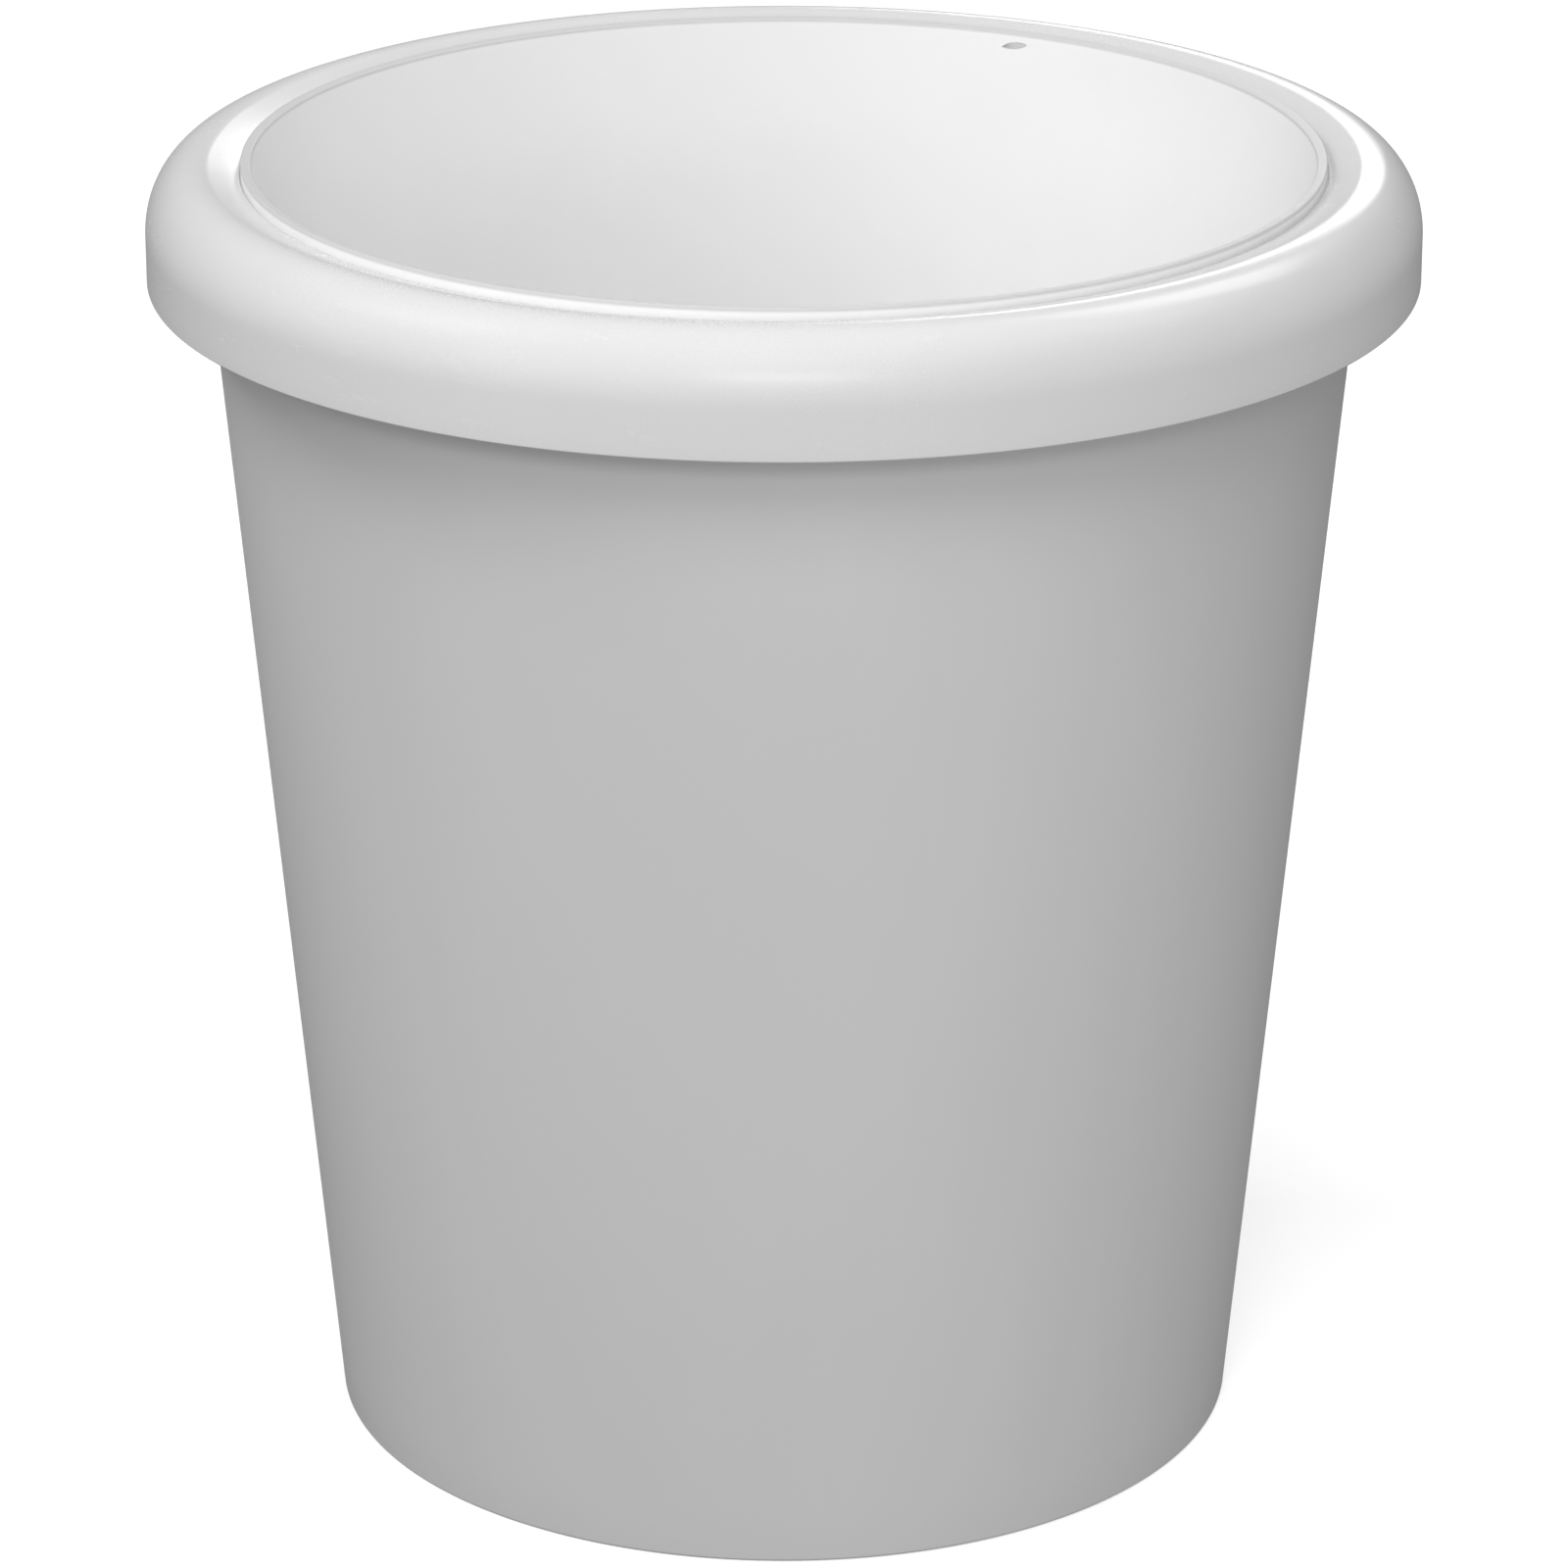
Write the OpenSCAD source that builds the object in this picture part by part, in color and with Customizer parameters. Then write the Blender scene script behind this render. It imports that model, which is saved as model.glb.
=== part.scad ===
// Round office wastebasket made of three mouldings. A tapered outer shell stands on the
// floor. A bucket hangs inside it by a flange that rests on the shell's top edge. A rounded
// ring drops over both edges and pins the edge of a waste bag between itself and the flange.
// Millimetres, +Z up, origin at floor level on the axis.

/* [Size] */
// Outside diameter of the shell at floor level
foot_d = 227.2; // [225:0.2:228.6]
// Outside diameter of the ring, the widest part
ring_d = 310; // [309:0.5:314]
// Height of the ring's crest
crest_z = 323.7; // [321:0.1:325.5]
// Taper of both walls, from the vertical
taper = 5.06; // [4.9:0.02:5.2]
// Wall thickness of the shell and the bucket
wall = 2; // [1.6:0.1:2.4]

/* [Ring] */
// Height of the ring's lower edge
skirt_z = 295; // [292:0.5:298]
// Wall thickness of the ring
ring_wall = 2.2; // [1.8:0.1:2.6]
// Width of the rounded shoulder, from the ring's side in to its crest
shoulder_w = 13; // [12:0.5:14]
// Height of the rounded shoulder
shoulder_h = 16.6; // [14:0.2:18]
// Slope of the ring's top towards the mouth, from the horizontal
inner_slope = 16.2; // [14:0.2:18]
// Radius of the crest where the inner slope begins
crest_round = 10; // [6:0.5:12]
// Radius of the ring's inner edge
ring_edge_round = 0.7; // [0.5:0.1:0.9]
// Radius of both corners of the ring's lower edge
skirt_round = 0.5; // [0.3:0.1:0.8]
// Number of stiffening ribs under the ring
rib_count = 12; // [6:2:24]
// Thickness of a rib
rib_t = 1.6; // [1.2:0.1:2.4]

/* [Bucket] */
// Diameter of the mouth
mouth_d = 258.2; // [256:0.2:259]
// Height of the bucket's lip
lip_z = 324.1; // [323:0.1:325]
// Thickness of the lip
lip_t = 2.5; // [2.3:0.1:2.7]
// Radius of the lip's two edges
lip_round = 0.4; // [0.2:0.1:1]
// Drop of the lip's top face from its outer edge to its inner edge
lip_fall = 0.35; // [0:0.05:0.6]
// Height of the underside of the bucket's floor
bucket_floor_z = 10; // [9:0.5:20]
// Overhang of the flange past the shell's top edge
flange_over = 3; // [2:0.2:3.6]
// Thickness of the flange
flange_t = 2; // [1.6:0.1:2.4]
// Depth of the rib under the flange that centres the bucket in the shell
locator_h = 8; // [4:0.5:10]

/* [Notch] */
// Length of the lens-shaped notch below the lip
notch_w = 7.6; // [6:0.2:12]
// Height of the notch
notch_h = 1.9; // [1.4:0.1:2.4]
// Depth of the notch into the wall
notch_depth = 1.6; // [0.6:0.1:1.8]
// Distance from the top of the lip to the top of the notch
notch_drop = 2.7; // [1.6:0.1:3.2]
// Direction of the notch, clockwise from the back as seen from above
notch_angle = 27.5; // [0:0.5:90]
// Tilt of the notch, its right end up as seen from inside
notch_tilt = 10; // [0:1:15]

/* [Shell] */
// Height of the underside of the shell's floor above the table
foot_h = 4; // [3:0.5:5]
// Width of the foot ring at floor level
foot_w = 3; // [2.5:0.5:6]
// Thickness of the floors
floor_t = 2.4; // [2:0.1:2.6]

/* [Hidden] */
$fn = 96;
rise = tan(taper);
foot_r = foot_d / 2;
ring_r = ring_d / 2;
mouth_r = mouth_d / 2;
// Wall thickness measured level
wall_r = wall / cos(taper);
// Inside corner between a floor and its wall
corner_r = 8;
// Rounding of the shell's foot
edge_r = 1;
// Clearance between mouldings
play = 0.3;
// Straight pieces in each rounded stretch of an outline
arc_steps = 8;
shoulder_z = crest_z - shoulder_h;
crest_r = ring_r - shoulder_w;
// Where the crest's rounding runs out into the straight inner slope
slope_r = crest_r - crest_round * sin(inner_slope);
slope_z = crest_z - crest_round * (1 - cos(inner_slope));
// Face of the inner edge, and the height at which the slope meets its rounding
hole_r = mouth_r + lip_t + play;
edge_z = slope_z - (slope_r - hole_r - ring_edge_round) * tan(inner_slope);
// The flange carries the ring's inner edge, which stands upright for this height
edge_land = 0.3;
flange_top = edge_z - ring_edge_round - edge_land;
flange_z = flange_top - flange_t;
// The ring is flat underneath from its inner edge out to here
rest_r = slope_r - (slope_z - ring_wall - flange_top) / tan(inner_slope);
// Ribs reach this far below the flange, and stand this far clear of its rim
rib_drop = 14;
rib_gap = 0.5;
flange_r = foot_r + flange_z * tan(taper) + flange_over;

// Points along an ellipse, from one angle to another
function arc(cr, cz, a, b, from, to) =
    [for (i = [0 : arc_steps]) let (t = from + (to - from) * i / arc_steps)
        [cr + a * cos(t), cz + b * sin(t)]];

// The ring's rounded shoulder, from its side up to its crest, set in from the outside
function shoulder(inset) =
    arc(crest_r, shoulder_z, shoulder_w - inset, shoulder_h - inset, 0, 90);

function shell_r(z) = foot_r + z * rise;
function bucket_r(z) = mouth_r - (lip_z - lip_fall - lip_round - z) * rise;

module outer_shell() {
    top_r = shell_r(flange_z);
    floor_z = foot_h + floor_t;
    inner_corner_r = shell_r(floor_z + corner_r) - wall_r - corner_r;
    color("whitesmoke")
    rotate_extrude()
    polygon(concat(
        [[0, foot_h], [foot_r - foot_w - foot_h * rise, foot_h], [foot_r - foot_w, 0]],
        arc(foot_r - edge_r, edge_r, edge_r, edge_r, -90, -taper),
        [[top_r, flange_z], [top_r - wall_r, flange_z]],
        arc(inner_corner_r, floor_z + corner_r, corner_r, corner_r, -taper, -90),
        [[0, floor_z]]
    ));
}

module bucket_body() {
    floor_top = bucket_floor_z + floor_t;
    lip_r = mouth_r + lip_t;
    inner_corner_r = bucket_r(floor_top + corner_r) - corner_r;
    outer_corner = corner_r + wall;
    outer_corner_r = bucket_r(bucket_floor_z + outer_corner) + wall_r - outer_corner;
    locator_out = shell_r(flange_z - locator_h) - wall_r - 2 * play;
    rotate_extrude()
    polygon(concat(
        [[0, bucket_floor_z]],
        arc(outer_corner_r, bucket_floor_z + outer_corner, outer_corner, outer_corner, -90, -taper),
        [[bucket_r(flange_z) + wall_r, flange_z]],
        [[locator_out - wall, flange_z], [locator_out - wall, flange_z - locator_h]],
        [[locator_out, flange_z - locator_h], [locator_out, flange_z]],
        [[flange_r, flange_z], [flange_r, flange_top], [lip_r, flange_top]],
        arc(lip_r - lip_round, lip_z - lip_round, lip_round, lip_round, 0, 90),
        arc(mouth_r + lip_round, lip_z - lip_fall - lip_round, lip_round, lip_round, 90, 180),
        arc(inner_corner_r, floor_top + corner_r, corner_r, corner_r, -taper, -90),
        [[0, floor_top]]
    ));
}

// A lens with pointed ends, pushed level into the wall as a blind pocket
module notch_cutter() {
    half_w = notch_w / 2;
    half_h = notch_h / 2;
    bow_r = (pow(half_w, 2) + pow(half_h, 2)) / notch_h;
    sweep = asin(half_w / bow_r);
    mid_z = lip_z - notch_drop - half_h;
    lower = arc(0, bow_r - half_h, bow_r, bow_r, 270 - sweep, 270 + sweep);
    rotate(-notch_angle)
    translate([0, bucket_r(mid_z) + notch_depth, mid_z])
    rotate([90, 0, 0])
    linear_extrude(2 * notch_depth)
    rotate(notch_tilt)
    polygon(concat(
        arc(0, half_h - bow_r, bow_r, bow_r, 90 - sweep, 90 + sweep),
        [for (i = [1 : arc_steps - 1]) lower[i]]
    ));
}

module inner_bucket() {
    color("white")
    difference() {
        bucket_body();
        notch_cutter();
    }
}

// Section of the ring: skirt, rounded shoulder, crest and slope down to the inner edge
module ring_section() {
    corner_z = skirt_z + skirt_round;
    polygon(concat(
        arc(ring_r - ring_wall + skirt_round, corner_z, skirt_round, skirt_round, 180, 270),
        arc(ring_r - skirt_round, corner_z, skirt_round, skirt_round, 270, 360),
        shoulder(0),
        arc(crest_r, crest_z - crest_round, crest_round, crest_round, 90, 90 + inner_slope),
        arc(hole_r + ring_edge_round, edge_z - ring_edge_round, ring_edge_round,
            ring_edge_round, 90 + inner_slope, 180),
        [[hole_r, flange_top], [rest_r, flange_top], [slope_r, slope_z - ring_wall]],
        [for (i = [arc_steps : -1 : 0]) shoulder(ring_wall)[i]]
    ));
}

// Section of one rib, which hangs from the shoulder between the flange and the skirt
module rib_section() {
    half = ring_wall / 2;
    inner_r = flange_r + rib_gap;
    rib_z = flange_z - rib_drop;
    polygon(concat(
        [[inner_r, rib_z], [ring_r - half, rib_z]],
        shoulder(half),
        [[inner_r, crest_z - ring_wall]]
    ));
}

module ring_ribs() {
    for (i = [0 : rib_count - 1])
        rotate(360 * (i + 0.5) / rib_count)
        translate([0, rib_t / 2, 0])
        rotate([90, 0, 0])
        linear_extrude(rib_t)
        rib_section();
}

module rim_ring() {
    color("gainsboro")
    union() {
        rotate_extrude() ring_section();
        ring_ribs();
    }
}

outer_shell();
inner_bucket();
rim_ring();
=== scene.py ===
# Round office wastebasket: outer shell, inner bucket and rim ring, lathed finely over the
# CAD frame, in moulded grey-white plastic. Metres, +Z up.
import math

import bmesh
import bpy
from mathutils import Matrix, Vector


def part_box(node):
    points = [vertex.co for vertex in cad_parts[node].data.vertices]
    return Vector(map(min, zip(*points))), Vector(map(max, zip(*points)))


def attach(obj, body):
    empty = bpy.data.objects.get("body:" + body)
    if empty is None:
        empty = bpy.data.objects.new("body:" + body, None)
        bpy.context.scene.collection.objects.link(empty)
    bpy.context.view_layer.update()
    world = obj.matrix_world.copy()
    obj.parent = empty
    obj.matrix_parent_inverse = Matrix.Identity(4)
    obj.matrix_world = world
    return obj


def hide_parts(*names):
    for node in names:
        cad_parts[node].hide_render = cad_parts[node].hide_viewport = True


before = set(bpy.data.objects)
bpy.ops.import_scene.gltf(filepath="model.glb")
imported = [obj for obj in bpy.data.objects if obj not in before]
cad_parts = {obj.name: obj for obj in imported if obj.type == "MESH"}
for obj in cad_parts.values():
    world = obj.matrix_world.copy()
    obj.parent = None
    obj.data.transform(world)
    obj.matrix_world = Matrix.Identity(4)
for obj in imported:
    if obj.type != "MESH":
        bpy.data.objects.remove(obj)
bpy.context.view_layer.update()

MM = 0.001

# Sizes that the frame gives
SHELL_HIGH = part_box("outer_shell")[1]
BUCKET_LOW, BUCKET_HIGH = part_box("inner_bucket")
RING_LOW, RING_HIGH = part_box("rim_ring")
SHELL_TOP_R = SHELL_HIGH[0]
FLANGE_Z = SHELL_HIGH[2]
FLANGE_R = BUCKET_HIGH[0]
LIP_Z = BUCKET_HIGH[2]
BUCKET_BASE_Z = BUCKET_LOW[2]
RING_R = RING_HIGH[0]
SKIRT_Z = RING_LOW[2]
CREST_Z = RING_HIGH[2]

# The mouldings' other sizes, as designed
TAPER = math.radians(5.06)
WALL = 2 * MM
FLOOR_T = 2.4 * MM
FOOT_H = 4 * MM
FOOT_W = 3 * MM
CORNER_R = 8 * MM
EDGE_R = 1 * MM
PLAY = 0.3 * MM
FLANGE_T = 2 * MM
LOCATOR_H = 8 * MM
MOUTH_R = 129.1 * MM
LIP_T = 2.5 * MM
LIP_ROUND = 0.4 * MM
LIP_FALL = 0.35 * MM
RING_WALL = 2.2 * MM
SHOULDER_W = 13 * MM
SHOULDER_H = 16.6 * MM
INNER_SLOPE = math.radians(16.2)
CREST_ROUND = 10 * MM
RING_EDGE = 0.7 * MM
SKIRT_ROUND = 0.5 * MM
RIB_COUNT = 12
RIB_T = 1.6 * MM
RIB_DROP = 14 * MM
RIB_GAP = 0.5 * MM
NOTCH_ANGLE = math.radians(27.5)
NOTCH_TILT = math.radians(10)
NOTCH_W = 7.6 * MM
NOTCH_H = 1.9 * MM
NOTCH_DEPTH = 1.6 * MM
NOTCH_DROP = 2.7 * MM

# The gate mark in the middle of each underside: a nib in a shallow dish
GATE_R = 6 * MM
GATE_FLAT_R = 5 * MM
GATE_DEPTH = 0.5 * MM
NIB_R = 1.6 * MM
NIB_TOP_R = 1.4 * MM
NIB_INSET = 0.1 * MM

# Heights of the stations between the rounded ends of the straight walls
LOW_STATION = 100 * MM
MIDDLE_STATION = 200 * MM
HIGH_STATION = 270 * MM

RISE = math.tan(TAPER)
WALL_R = WALL / math.cos(TAPER)
FOOT_R = SHELL_TOP_R - FLANGE_Z * RISE
FLANGE_TOP = FLANGE_Z + FLANGE_T
# The ring's section: its opening, and the ends of its straight inner slope
HOLE_R = MOUTH_R + LIP_T + PLAY
CREST_R = RING_R - SHOULDER_W
SLOPE_R = CREST_R - CREST_ROUND * math.sin(INNER_SLOPE)
SLOPE_Z = CREST_Z - CREST_ROUND * (1 - math.cos(INNER_SLOPE))
RING_EDGE_Z = SLOPE_Z - (SLOPE_R - HOLE_R - RING_EDGE) * math.tan(INNER_SLOPE)

# Fineness of the meshes
AROUND = 360
FINE_STEPS = 24
WALL_STEP = 12 * MM
RING_STEP = 4 * MM


def shell_r(z):
    return FOOT_R + z * RISE


def bucket_r(z):
    return MOUTH_R - (LIP_Z - LIP_FALL - LIP_ROUND - z) * RISE


# Outlines: lists of (radius, height)

def arc(cr, cz, a, b, start, end, steps=10):
    """Points along an ellipse, angles in degrees."""
    points = []
    for i in range(steps + 1):
        t = math.radians(start + (end - start) * i / steps)
        points.append((cr + a * math.cos(t), cz + b * math.sin(t)))
    return points


def rounded(corners, steps=5):
    """A run of points. A corner with a third value, its rounding, becomes an arc."""
    result = []
    for i, corner in enumerate(corners):
        if len(corner) == 2:
            result.append(corner)
            continue
        r = corner[2]
        here = Vector(corner[:2])
        back = (Vector(corners[i - 1][:2]) - here).normalized()
        ahead = (Vector(corners[i + 1][:2]) - here).normalized()
        half = back.angle(ahead) / 2
        reach = r / math.tan(half)
        centre = here + (back + ahead).normalized() * r / math.sin(half)
        start = here + back * reach - centre
        end = here + ahead * reach - centre
        for k in range(steps + 1):
            turn = start.lerp(end, k / steps).normalized() * r
            result.append(tuple(centre + turn))
    return result


def stretched(points, longest):
    """The same outline with long straight stretches divided, for even shading."""
    result = [points[0]]
    for a, b in zip(points, points[1:]):
        pieces = max(1, math.ceil(math.dist(a, b) / longest))
        for k in range(1, pieces + 1):
            t = k / pieces
            result.append((a[0] + (b[0] - a[0]) * t, a[1] + (b[1] - a[1]) * t))
    return result


def gate(base_z):
    return [(0, base_z + NIB_INSET), (NIB_TOP_R, base_z + NIB_INSET),
            (NIB_R, base_z + GATE_DEPTH), (GATE_FLAT_R, base_z + GATE_DEPTH),
            (GATE_R, base_z)]


# Meshes

def piece_from(name, bm):
    mesh = bpy.data.meshes.new(name)
    bm.to_mesh(mesh)
    bm.free()
    piece = bpy.data.objects.new(name, mesh)
    bpy.context.scene.collection.objects.link(piece)
    return piece


def lathe(name, outline, closed=False):
    """A body of revolution. A point at radius 0 becomes one vertex."""
    bm = bmesh.new()
    rows = []
    for r, z in outline:
        if r == 0:
            rows.append([bm.verts.new((0, 0, z))])
            continue
        row = []
        for i in range(AROUND):
            t = 2 * math.pi * i / AROUND
            row.append(bm.verts.new((r * math.cos(t), r * math.sin(t), z)))
        rows.append(row)
    pairs = list(zip(rows, rows[1:]))
    if closed:
        pairs.append((rows[-1], rows[0]))
    for low, high in pairs:
        for i in range(AROUND):
            j = (i + 1) % AROUND
            if len(low) == 1:
                bm.faces.new((low[0], high[j], high[i]))
            elif len(high) == 1:
                bm.faces.new((low[i], low[j], high[0]))
            else:
                bm.faces.new((low[i], low[j], high[j], high[i]))
    bmesh.ops.recalc_face_normals(bm, faces=bm.faces)
    return piece_from(name, bm)


def plate(name, outline, low_y, high_y):
    """A flat plate with its outline in the XZ plane, between two values of Y."""
    bm = bmesh.new()
    front = [bm.verts.new((x, low_y, z)) for x, z in outline]
    back = [bm.verts.new((x, high_y, z)) for x, z in outline]
    bm.faces.new(front)
    bm.faces.new(back[::-1])
    for i in range(len(outline)):
        j = (i + 1) % len(outline)
        bm.faces.new((front[i], back[i], back[j], front[j]))
    bmesh.ops.recalc_face_normals(bm, faces=bm.faces)
    return piece_from(name, bm)


def carve(piece, tool, operation):
    """Joins tool to piece, or cuts it away, and removes the tool."""
    modifier = piece.modifiers.new("carve", "BOOLEAN")
    modifier.operation = operation
    modifier.solver = "EXACT"
    modifier.object = tool
    bpy.context.view_layer.update()
    depsgraph = bpy.context.evaluated_depsgraph_get()
    mesh = bpy.data.meshes.new_from_object(piece.evaluated_get(depsgraph))
    piece.modifiers.remove(modifier)
    piece.data = mesh
    bpy.data.objects.remove(tool)


def shade(piece, sharp_from=38):
    """Smooth shading, with edges sharp from an angle in degrees."""
    piece.data.shade_smooth()
    piece.data.set_sharp_from_angle(angle=math.radians(sharp_from))


# The three mouldings

def shell_outline():
    floor_z = FOOT_H + FLOOR_T
    inner_corner_r = shell_r(floor_z + CORNER_R) - WALL_R - CORNER_R
    taper = math.degrees(TAPER)
    foot_inner = FOOT_R - FOOT_W
    outline = gate(FOOT_H)
    outline += rounded([(60 * MM, FOOT_H), (foot_inner - FOOT_H * RISE, FOOT_H, 0.8 * MM),
                        (foot_inner, 0, 0.4 * MM), (FOOT_R - EDGE_R, 0)])[:-1]
    outline += arc(FOOT_R - EDGE_R, EDGE_R, EDGE_R, EDGE_R, -90, -taper)
    outline += rounded([(shell_r(MIDDLE_STATION), MIDDLE_STATION),
                        (SHELL_TOP_R, FLANGE_Z, 0.3 * MM),
                        (SHELL_TOP_R - WALL_R, FLANGE_Z, 0.3 * MM),
                        (shell_r(MIDDLE_STATION) - WALL_R, MIDDLE_STATION)])
    outline += arc(inner_corner_r, floor_z + CORNER_R, CORNER_R, CORNER_R, -taper, -90)
    outline += [(0, floor_z)]
    return stretched(outline, WALL_STEP)


def bucket_outline():
    floor_top = BUCKET_BASE_Z + FLOOR_T
    lip_r = MOUTH_R + LIP_T
    taper = math.degrees(TAPER)
    inner_corner_r = bucket_r(floor_top + CORNER_R) - CORNER_R
    outer_corner = CORNER_R + WALL
    outer_corner_z = BUCKET_BASE_Z + outer_corner
    outer_corner_r = bucket_r(outer_corner_z) + WALL_R - outer_corner
    locator_z = FLANGE_Z - LOCATOR_H
    locator_out = shell_r(locator_z) - WALL_R - 2 * PLAY
    locator_in = locator_out - WALL
    outline = gate(BUCKET_BASE_Z)
    outline += arc(outer_corner_r, outer_corner_z, outer_corner, outer_corner, -90, -taper)
    outline += rounded(
        [(bucket_r(MIDDLE_STATION) + WALL_R, MIDDLE_STATION),
         (bucket_r(FLANGE_Z) + WALL_R, FLANGE_Z, 1 * MM),
         (locator_in, FLANGE_Z, 0.8 * MM), (locator_in, locator_z, 0.5 * MM),
         (locator_out, locator_z, 0.5 * MM), (locator_out, FLANGE_Z),
         (FLANGE_R, FLANGE_Z, 0.5 * MM), (FLANGE_R, FLANGE_TOP, 0.7 * MM),
         (lip_r, FLANGE_TOP, 0.28 * MM), (lip_r, FLANGE_TOP + 2 * MM)])
    outline += arc(lip_r - LIP_ROUND, LIP_Z - LIP_ROUND, LIP_ROUND, LIP_ROUND, 0, 90)
    outline += arc(MOUTH_R + LIP_ROUND, LIP_Z - LIP_FALL - LIP_ROUND, LIP_ROUND, LIP_ROUND,
                   90, 180)
    outline += [(bucket_r(z), z) for z in (HIGH_STATION, LOW_STATION)]
    outline += arc(inner_corner_r, floor_top + CORNER_R, CORNER_R, CORNER_R, -taper, -90)
    outline += [(0, floor_top)]
    return stretched(outline, WALL_STEP)


def shoulder(inset):
    """The ring's rounded shoulder, from its side up to its crest, set in from outside."""
    return arc(CREST_R, CREST_Z - SHOULDER_H, SHOULDER_W - inset, SHOULDER_H - inset, 0, 90,
               steps=FINE_STEPS)


def ring_outline():
    slope = math.degrees(INNER_SLOPE)
    corner_z = SKIRT_Z + SKIRT_ROUND
    land_z = RING_EDGE_Z - RING_EDGE
    rest_r = SLOPE_R - (SLOPE_Z - RING_WALL - FLANGE_TOP) / math.tan(INNER_SLOPE)
    outline = arc(RING_R - RING_WALL + SKIRT_ROUND, corner_z, SKIRT_ROUND, SKIRT_ROUND, 180, 270)
    outline += arc(RING_R - SKIRT_ROUND, corner_z, SKIRT_ROUND, SKIRT_ROUND, 270, 360)
    outline += shoulder(0)
    outline += arc(CREST_R, CREST_Z - CREST_ROUND, CREST_ROUND, CREST_ROUND, 90, 90 + slope)[1:]
    outline += arc(HOLE_R + RING_EDGE, land_z, RING_EDGE, RING_EDGE, 90 + slope, 180)
    outline += rounded([(HOLE_R, land_z), (HOLE_R, FLANGE_TOP, 0.15 * MM),
                        (rest_r, FLANGE_TOP)])[1:]
    outline += [(SLOPE_R, SLOPE_Z - RING_WALL)]
    outline += shoulder(RING_WALL)[::-1]
    return stretched(outline, RING_STEP)


def rib():
    """One rib's section, as a thin plate in the XZ plane."""
    half = RING_WALL / 2
    inner_r = FLANGE_R + RIB_GAP
    rib_z = FLANGE_Z - RIB_DROP
    outline = rounded([(inner_r, CREST_Z - RING_WALL), (inner_r, rib_z, 1.5 * MM),
                       (RING_R - half, rib_z)])
    outline += shoulder(half)
    return plate("rib", outline, -RIB_T / 2, RIB_T / 2)


def ribs():
    whole = bmesh.new()
    for i in range(RIB_COUNT):
        piece = rib()
        turn = math.radians(90) + 2 * math.pi * (i + 0.5) / RIB_COUNT
        piece.data.transform(Matrix.Rotation(turn, 4, "Z"))
        whole.from_mesh(piece.data)
        bpy.data.objects.remove(piece)
    return piece_from("ribs", whole)


def notch_tool():
    """A tilted lens with pointed ends, pushed level into the wall as a blind pocket."""
    half_w, half_h = NOTCH_W / 2, NOTCH_H / 2
    bow_r = (half_w ** 2 + half_h ** 2) / NOTCH_H
    sweep = math.degrees(math.asin(half_w / bow_r))
    mid_z = LIP_Z - NOTCH_DROP - half_h
    upper = arc(0, half_h - bow_r, bow_r, bow_r, 90 - sweep, 90 + sweep, steps=FINE_STEPS)
    lower = arc(0, bow_r - half_h, bow_r, bow_r, 270 - sweep, 270 + sweep, steps=FINE_STEPS)
    wall = bucket_r(mid_z)
    tool = plate("notch_tool", upper + lower[1:-1], wall - NOTCH_DEPTH, wall + NOTCH_DEPTH)
    tilt = Matrix.Rotation(-NOTCH_TILT, 4, "Y")
    tool.data.transform(Matrix.Translation((0, 0, mid_z)) @ tilt)
    tool.rotation_euler = (0, 0, -NOTCH_ANGLE)
    return tool


def make_shell():
    piece = lathe("shell_moulding", shell_outline())
    shade(piece)
    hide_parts("outer_shell")
    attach(piece, "shell")
    return piece


def make_bucket():
    piece = lathe("bucket_moulding", bucket_outline())
    carve(piece, notch_tool(), "DIFFERENCE")
    shade(piece)
    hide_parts("inner_bucket")
    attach(piece, "bucket")
    return piece


def make_ring():
    piece = lathe("ring_moulding", ring_outline(), closed=True)
    carve(piece, ribs(), "UNION")
    shade(piece)
    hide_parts("rim_ring")
    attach(piece, "ring")
    return piece


# Materials

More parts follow.
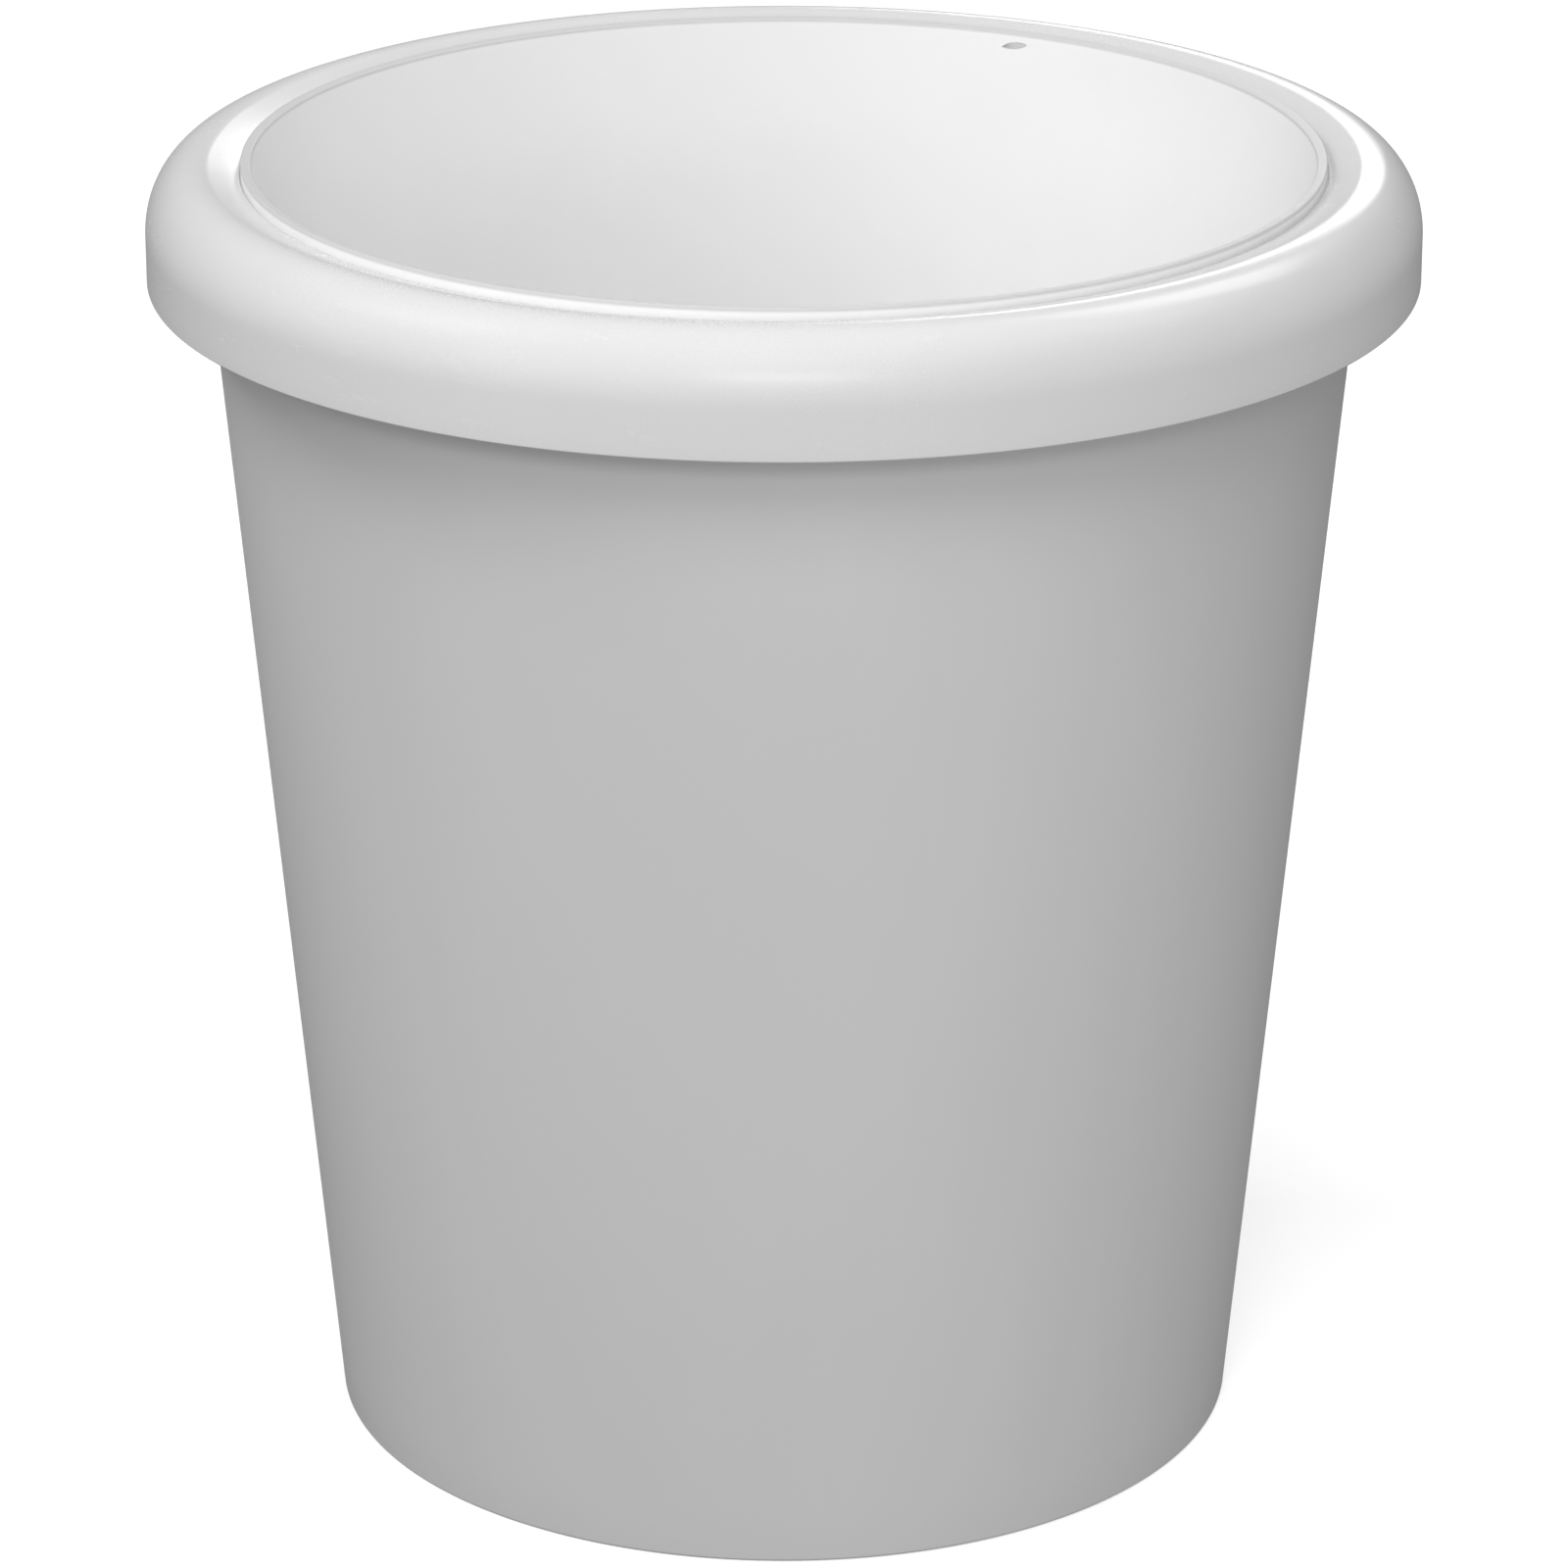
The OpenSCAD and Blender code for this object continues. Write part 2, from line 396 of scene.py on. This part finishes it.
class Nodes:
    """Short calls for building a shader tree."""

    def __init__(self, name):
        self.material = bpy.data.materials.new(name)
        self.material.use_nodes = True
        self.tree = self.material.node_tree
        self.shader = self.tree.nodes["Principled BSDF"]
        self.place = self.add("ShaderNodeTexCoord").outputs["Object"]

    def add(self, kind, **settings):
        node = self.tree.nodes.new(kind)
        for key, value in settings.items():
            setattr(node, key, value)
        return node

    def link(self, source, target):
        self.tree.links.new(source, target)

    def stretch(self, scale):
        """Object coordinates scaled by (x, y, z)."""
        node = self.add("ShaderNodeMapping")
        node.inputs["Scale"].default_value = scale
        self.link(self.place, node.inputs["Vector"])
        return node.outputs["Vector"]

    def noise(self, vector, scale, detail=2, rough=0.5):
        node = self.add("ShaderNodeTexNoise")
        node.inputs["Scale"].default_value = scale
        node.inputs["Detail"].default_value = detail
        node.inputs["Roughness"].default_value = rough
        self.link(vector, node.inputs["Vector"])
        return node.outputs["Fac"]

    def span(self, value, low, high, to_low, to_high, smooth=False):
        """value mapped from one range to another, clamped."""
        node = self.add("ShaderNodeMapRange")
        node.interpolation_type = "SMOOTHSTEP" if smooth else "LINEAR"
        for socket, number in (("From Min", low), ("From Max", high),
                               ("To Min", to_low), ("To Max", to_high)):
            node.inputs[socket].default_value = number
        self.link(value, node.inputs["Value"])
        return node.outputs["Result"]

    def spread(self, noise, to_low, to_high, smooth=False):
        """A noise, nearly all of which lies between 0.3 and 0.7, mapped to a range."""
        return self.span(noise, 0.3, 0.7, to_low, to_high, smooth)

    def math(self, operation, a, b):
        node = self.add("ShaderNodeMath", operation=operation)
        for socket, value in zip(node.inputs, (a, b)):
            if isinstance(value, (int, float)):
                socket.default_value = value
            else:
                self.link(value, socket)
        return node.outputs[0]

    def mix(self, factor, a, b):
        node = self.add("ShaderNodeMix", data_type="RGBA")
        self.link(factor, node.inputs[0])
        for socket, value in ((node.inputs[6], a), (node.inputs[7], b)):
            if isinstance(value, tuple):
                socket.default_value = value
            else:
                self.link(value, socket)
        return node.outputs[2]

    def bump(self, height, distance, strength, normal=None):
        node = self.add("ShaderNodeBump")
        node.inputs["Strength"].default_value = strength
        node.inputs["Distance"].default_value = distance
        self.link(height, node.inputs["Height"])
        if normal is not None:
            self.link(normal, node.inputs["Normal"])
        return node.outputs["Normal"]


# Scales of the plastic's patterns, in waves a metre
GRAIN = 2600
FLOW_LINES = 160
RUBBED_PATCHES = 75
SINK_MARKS = 26
CLOUDS = 9
# Height over which the rubbed patches fade out at either end of their band
RUB_FADE = 12 * MM
PLASTIC_IOR = 1.49


def grey(level):
    return (level, level, level, 1)


def paint_shade(n, tone, level, axes):
    """Paints shade into tone: a painted shade in the notch pocket, darkest at its bottom, and a
    grey painted shade on the top of the lip. axes are the X, Y and Z of the object coordinates."""
    z = axes["Z"]
    flat = n.add("ShaderNodeCombineXYZ")
    n.link(axes["X"], flat.inputs["X"])
    n.link(axes["Y"], flat.inputs["Y"])
    length = n.add("ShaderNodeVectorMath", operation="LENGTH")
    n.link(flat.outputs[0], length.inputs[0])
    radius = length.outputs["Value"]
    # Painted shade in the notch pocket: a mask of the pocket's faces, weighted darker towards
    # its bottom
    back_r = MOUTH_R + 2 * MM
    deep = n.math("MULTIPLY", n.span(radius, MOUTH_R, MOUTH_R + 0.3 * MM, 0, 1),
                  n.span(radius, back_r, back_r + 0.1 * MM, 1, 0))
    under = n.span(z, LIP_Z - 2 * MM, LIP_Z - 1.9 * MM, 1, 0)
    above = n.span(z, FLANGE_Z, FLANGE_Z + 0.2 * MM, 0, 1)
    painted_shade = n.math("MULTIPLY", deep, n.math("MULTIPLY", under, above))
    lower_weight = n.span(z, LIP_Z - 5 * MM, LIP_Z - 3 * MM, 0.6, 0)
    tone = n.mix(n.math("MULTIPLY", painted_shade, lower_weight), tone, grey(level * 0.6))
    # Painted shade: the top of the lip is greyed, darker than the rest of the bucket
    edge = n.span(z, LIP_Z - 1.4 * MM, LIP_Z - 0.6 * MM, 0, 1, smooth=True)
    return n.mix(n.math("MULTIPLY", edge, 0.8), tone, grey(level * 0.64))


def moulded_plastic(name, level, rough, wear_low, wear_high, painted_shade=False):
    """Satin moulded polypropylene: a fine spark-eroded grain, slight sink and flow marks,
    a little tone variation, and rubbed patches between two heights."""
    n = Nodes(name)
    grain = n.noise(n.stretch((1, 1, 1)), GRAIN, detail=3, rough=0.6)
    waves = n.noise(n.stretch((1, 1, 0.35)), SINK_MARKS)
    flow = n.noise(n.stretch((1, 1, 0.03)), FLOW_LINES, detail=3)
    cloud = n.noise(n.stretch((1, 1, 0.6)), CLOUDS, detail=4, rough=0.55)
    split = n.add("ShaderNodeSeparateXYZ")
    n.link(n.place, split.inputs[0])
    z = split.outputs["Z"]
    rub = n.noise(n.stretch((1, 1, 3)), RUBBED_PATCHES, detail=6, rough=0.7)
    rubbed = n.span(rub, 0.56, 0.72, 0, 1, smooth=True)
    band = n.math("MULTIPLY", n.span(z, wear_low - RUB_FADE, wear_low, 0, 1, smooth=True),
                  n.span(z, wear_high, wear_high + RUB_FADE, 1, 0, smooth=True))
    worn = n.math("MULTIPLY", rubbed, band)
    tone = n.mix(n.spread(cloud, 0, 1, smooth=True), grey(level * 0.975), grey(level * 1.01))
    tone = n.mix(n.span(flow, 0.35, 0.65, 0, 0.35), tone, grey(level * 0.985))
    tone = n.mix(n.math("MULTIPLY", worn, 0.08), tone, grey(level * 1.03))
    # Painted shade in the bucket's colour: the notch pocket darker towards its bottom, and the
    # lip top greyed
    if painted_shade:
        tone = paint_shade(n, tone, level, split.outputs)
    n.link(tone, n.shader.inputs["Base Color"])
    roughness = n.spread(cloud, rough - 0.03, rough + 0.03)
    roughness = n.math("ADD", roughness, n.spread(grain, -0.03, 0.03))
    roughness = n.math("ADD", roughness, n.math("MULTIPLY", worn, 0.04))
    n.link(roughness, n.shader.inputs["Roughness"])
    normal = n.bump(waves, 0.25 * MM, 0.25)
    normal = n.bump(flow, 0.03 * MM, 0.3, normal)
    normal = n.bump(grain, 0.012 * MM, 0.5, normal)
    n.link(normal, n.shader.inputs["Normal"])
    n.shader.inputs["IOR"].default_value = PLASTIC_IOR
    n.shader.inputs["Specular IOR Level"].default_value = 0.5
    return n.material


def floor_material():
    n = Nodes("studio_floor")
    soft = n.noise(n.place, 3, detail=3)
    n.link(n.mix(soft, grey(0.93), grey(0.96)), n.shader.inputs["Base Color"])
    n.shader.inputs["Emission Color"].default_value = grey(1)
    n.shader.inputs["Emission Strength"].default_value = FLOOR_GLOW
    n.link(n.spread(soft, 0.75, 0.85), n.shader.inputs["Roughness"])
    return n.material


# The pieces, with their materials

shell = make_shell()
bucket = make_bucket()
ring = make_ring()
shell.data.materials.append(moulded_plastic(
    "shell_plastic_look", level=0.72, rough=0.42, wear_low=0, wear_high=12 * MM))
# The bucket's colour carries painted shade in its notch and on the top of its lip
bucket.data.materials.append(moulded_plastic(
    "bucket_plastic_look", level=0.94, rough=0.46, wear_low=300 * MM, wear_high=330 * MM,
    painted_shade=True))
ring.data.materials.append(moulded_plastic(
    "ring_plastic_look", level=0.79, rough=0.25, wear_low=297 * MM, wear_high=318 * MM))


# Stage, camera and lights

FLOOR_SIZE = 6
FLOOR_GLOW = 0.38
WORLD_STRENGTH = 0.21
LIGHT_TARGET = (0, 0, 0.2)
LIGHT_DISTANCE = 2.5
LOOK_AT = (0, 0, 0.1599)
DISTANCE = 1.7389
ELEVATION = math.radians(20.724)
LENS = 159.04


def studio_floor():
    """A pale floor that the camera sees but that throws no light back on the object."""
    bm = bmesh.new()
    bmesh.ops.create_grid(bm, x_segments=24, y_segments=24, size=FLOOR_SIZE)
    floor = piece_from("studio_floor", bm)
    floor.data.materials.append(floor_material())
    floor.data.shade_smooth()
    floor.visible_diffuse = False
    floor.visible_glossy = False


def aim(thing, target):
    direction = Vector(target) - thing.location
    thing.rotation_euler = direction.to_track_quat("-Z", "Y").to_euler()


def softbox(name, azimuth, elevation, width, height, power, mirrored=True):
    """A light panel at a bearing seen from above: 0 is the camera's side, 90 the right.
    One that is not mirrored gives soft light without a highlight."""
    turn, rise = math.radians(azimuth), math.radians(elevation)
    light = bpy.data.lights.new(name, "AREA")
    light.shape = "RECTANGLE"
    light.size = width
    light.size_y = height
    light.energy = power
    lamp = bpy.data.objects.new(name, light)
    flat = LIGHT_DISTANCE * math.cos(rise)
    lamp.location = (flat * math.sin(turn), -flat * math.cos(turn),
                     LIGHT_TARGET[2] + LIGHT_DISTANCE * math.sin(rise))
    lamp.visible_glossy = mirrored
    bpy.context.scene.collection.objects.link(lamp)
    aim(lamp, LIGHT_TARGET)


def studio_camera():
    data = bpy.data.cameras.new("camera")
    data.sensor_width = 36
    data.lens = LENS
    camera = bpy.data.objects.new("camera", data)
    camera.location = (0, -DISTANCE * math.cos(ELEVATION),
                       LOOK_AT[2] + DISTANCE * math.sin(ELEVATION))
    bpy.context.scene.collection.objects.link(camera)
    aim(camera, LOOK_AT)
    bpy.context.scene.camera = camera


def studio_world():
    world = bpy.data.worlds.new("studio")
    bpy.context.scene.world = world
    world.use_nodes = True
    background = world.node_tree.nodes["Background"]
    background.inputs["Color"].default_value = grey(1)
    background.inputs["Strength"].default_value = WORLD_STRENGTH


softbox("front", 0, 20, 1, 1, 9.9, mirrored=False)
softbox("front_high", 0, 50, 1, 1, 16, mirrored=False)
softbox("front_strip", 0, 27, 1, 0.35, 5)
softbox("front_left_low", 315, 20, 1, 1, 5.6, mirrored=False)
softbox("front_left_high", 300, 35, 0.8, 0.8, 2.3, mirrored=False)
softbox("front_right_low", 45, 6, 0.7, 0.7, 8.4, mirrored=False)
softbox("right_high", 90, 50, 1, 1, 2)
softbox("back_right_high", 135, 50, 1, 1, 10.5)
softbox("left_low", 270, 20, 1, 1, 1.1)
softbox("left_high", 270, 50, 1, 1, 20, mirrored=False)
softbox("rim_bar", 169.5, 20, 0.76, 0.4, 4.4)
softbox("rim_left", 177, 22, 0.2, 0.3, 0.2)
studio_floor()
studio_camera()
studio_world()
bpy.context.scene.view_settings.view_transform = "Standard"
